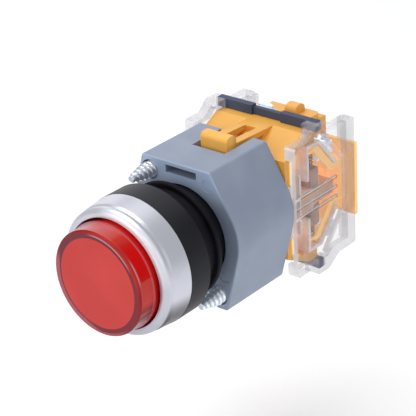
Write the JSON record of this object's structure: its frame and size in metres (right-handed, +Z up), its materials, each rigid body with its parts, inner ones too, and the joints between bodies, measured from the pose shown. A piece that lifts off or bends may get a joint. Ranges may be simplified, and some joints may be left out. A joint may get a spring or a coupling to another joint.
{
  "type": "pushbutton switch",
  "caption": "Illuminated raised pushbutton switch for a round panel hole, with a clamped mounting base and a clear-sided contact housing.",
  "frame": {"origin": "on the button's axis, at the panel's front face where the gasket seats", "axes": "+Y back through the panel along the button's axis, +Z up towards the latch arm, +X to the right seen from the button's side"},
  "size_m": [0.031, 0.0708, 0.0369],
  "materials": {
    "red_lens": "translucent polished red plastic with a milky face",
    "diffuser": "milky white plastic",
    "white_plastic": "off-white moulded nylon",
    "spring_steel": "bright drawn wire",
    "silver_bezel": "satin silver plating",
    "black_plastic": "satin black moulding",
    "gasket_rubber": "smooth black rubber",
    "grey_plastic": "fine-grained blue-grey moulding",
    "zinc_screw": "bright zinc plating",
    "lamp_clear": "clear lamp dome",
    "nickel_brass": "nickel-plated brass",
    "yellow_plastic": "satin yellow-orange moulding",
    "bar_plastic": "satin charcoal moulding",
    "clear_cover": "clear polycarbonate with frosted edges",
    "dark_plastic": "dark grey moulding",
    "contact_silver": "tinned copper strip with silver rivets",
    "brown_insulator": "brown phenolic"
  },
  "bodies": {
    "housing": {"return_spring": "spring_steel", "bezel_ring": "silver_bezel", "head_body": "black_plastic", "panel_gasket": "gasket_rubber", "mounting_base": "grey_plastic", "clamp_screws": "zinc_screw", "lamp_dome": "lamp_clear", "lamp_cap": "nickel_brass", "lamp_holder": "white_plastic", "contact_housing": "yellow_plastic", "locking_bar_top": "bar_plastic", "locking_bar_bottom": "bar_plastic", "cover_right": "clear_cover", "cover_left": "clear_cover", "terminal_saddles": "zinc_screw", "terminal_screws": "zinc_screw", "lamp_terminals": "nickel_brass", "lamp_screws": "zinc_screw", "bridge_spring_right": "spring_steel", "shoe_spring_upper_right": "spring_steel", "terminal_upper_right": "contact_silver", "shoe_spring_lower_right": "spring_steel", "terminal_lower_right": "contact_silver", "bridge_spring_left": "spring_steel", "shoe_spring_upper_left": "spring_steel", "terminal_upper_left": "contact_silver", "shoe_spring_lower_left": "spring_steel", "terminal_lower_left": "contact_silver"},
    "button": {"button_lens": "red_lens", "diffuser_disc": "diffuser", "button_carrier": "white_plastic"},
    "plunger_right": {"plunger_right": "dark_plastic"},
    "bridge_right": {"bridge_right": "contact_silver"},
    "shoe_upper_right": {"shoe_upper_right": "brown_insulator"},
    "shoe_lower_right": {"shoe_lower_right": "brown_insulator"},
    "plunger_left": {"plunger_left": "dark_plastic"},
    "bridge_left": {"bridge_left": "contact_silver"},
    "shoe_upper_left": {"shoe_upper_left": "brown_insulator"},
    "shoe_lower_left": {"shoe_lower_left": "brown_insulator"}
  },
  "joints": [
    {"name": "button_press", "type": "slide", "parent": "housing", "child": "button", "axis": [0, 1, 0], "range_m": [0, 0.0032], "stiffness_N_per_m": 400, "springref_m": -0.004, "deforming": ["return_spring"]},
    {"name": "plunger_right_slide", "type": "slide", "parent": "housing", "child": "plunger_right", "axis": [0, 1, 0], "range_m": [0, 0.0032]},
    {"name": "bridge_right_slide", "type": "slide", "parent": "housing", "child": "bridge_right", "axis": [0, 1, 0], "range_m": [0, 0.0012], "deforming": ["bridge_spring_right"]},
    {"name": "shoe_upper_right_slide", "type": "slide", "parent": "housing", "child": "shoe_upper_right", "axis": [0, 0, 1], "range_m": [0, 0.00096], "deforming": ["shoe_spring_upper_right"]},
    {"name": "shoe_lower_right_slide", "type": "slide", "parent": "housing", "child": "shoe_lower_right", "axis": [0, 0, -1], "range_m": [0, 0.00096], "deforming": ["shoe_spring_lower_right"]},
    {"name": "plunger_left_slide", "type": "slide", "parent": "housing", "child": "plunger_left", "axis": [0, 1, 0], "range_m": [0, 0.0032]},
    {"name": "bridge_left_slide", "type": "slide", "parent": "housing", "child": "bridge_left", "axis": [0, 1, 0], "range_m": [0, 0.0012], "deforming": ["bridge_spring_left"]},
    {"name": "shoe_upper_left_slide", "type": "slide", "parent": "housing", "child": "shoe_upper_left", "axis": [0, 0, 1], "range_m": [0, 0.00096], "deforming": ["shoe_spring_upper_left"]},
    {"name": "shoe_lower_left_slide", "type": "slide", "parent": "housing", "child": "shoe_lower_left", "axis": [0, 0, -1], "range_m": [0, 0.00096], "deforming": ["shoe_spring_lower_left"]}
  ],
  "couplings": [
    {"joint": "plunger_right_slide", "follows": "button_press", "ratio": 1},
    {"joint": "bridge_right_slide", "follows": "button_press", "ratio": 0.375},
    {"joint": "shoe_upper_right_slide", "follows": "button_press", "ratio": 0.3},
    {"joint": "shoe_lower_right_slide", "follows": "button_press", "ratio": 0.3},
    {"joint": "plunger_left_slide", "follows": "button_press", "ratio": 1},
    {"joint": "bridge_left_slide", "follows": "button_press", "ratio": 0.375},
    {"joint": "shoe_upper_left_slide", "follows": "button_press", "ratio": 0.3},
    {"joint": "shoe_lower_left_slide", "follows": "button_press", "ratio": 0.3}
  ]
}
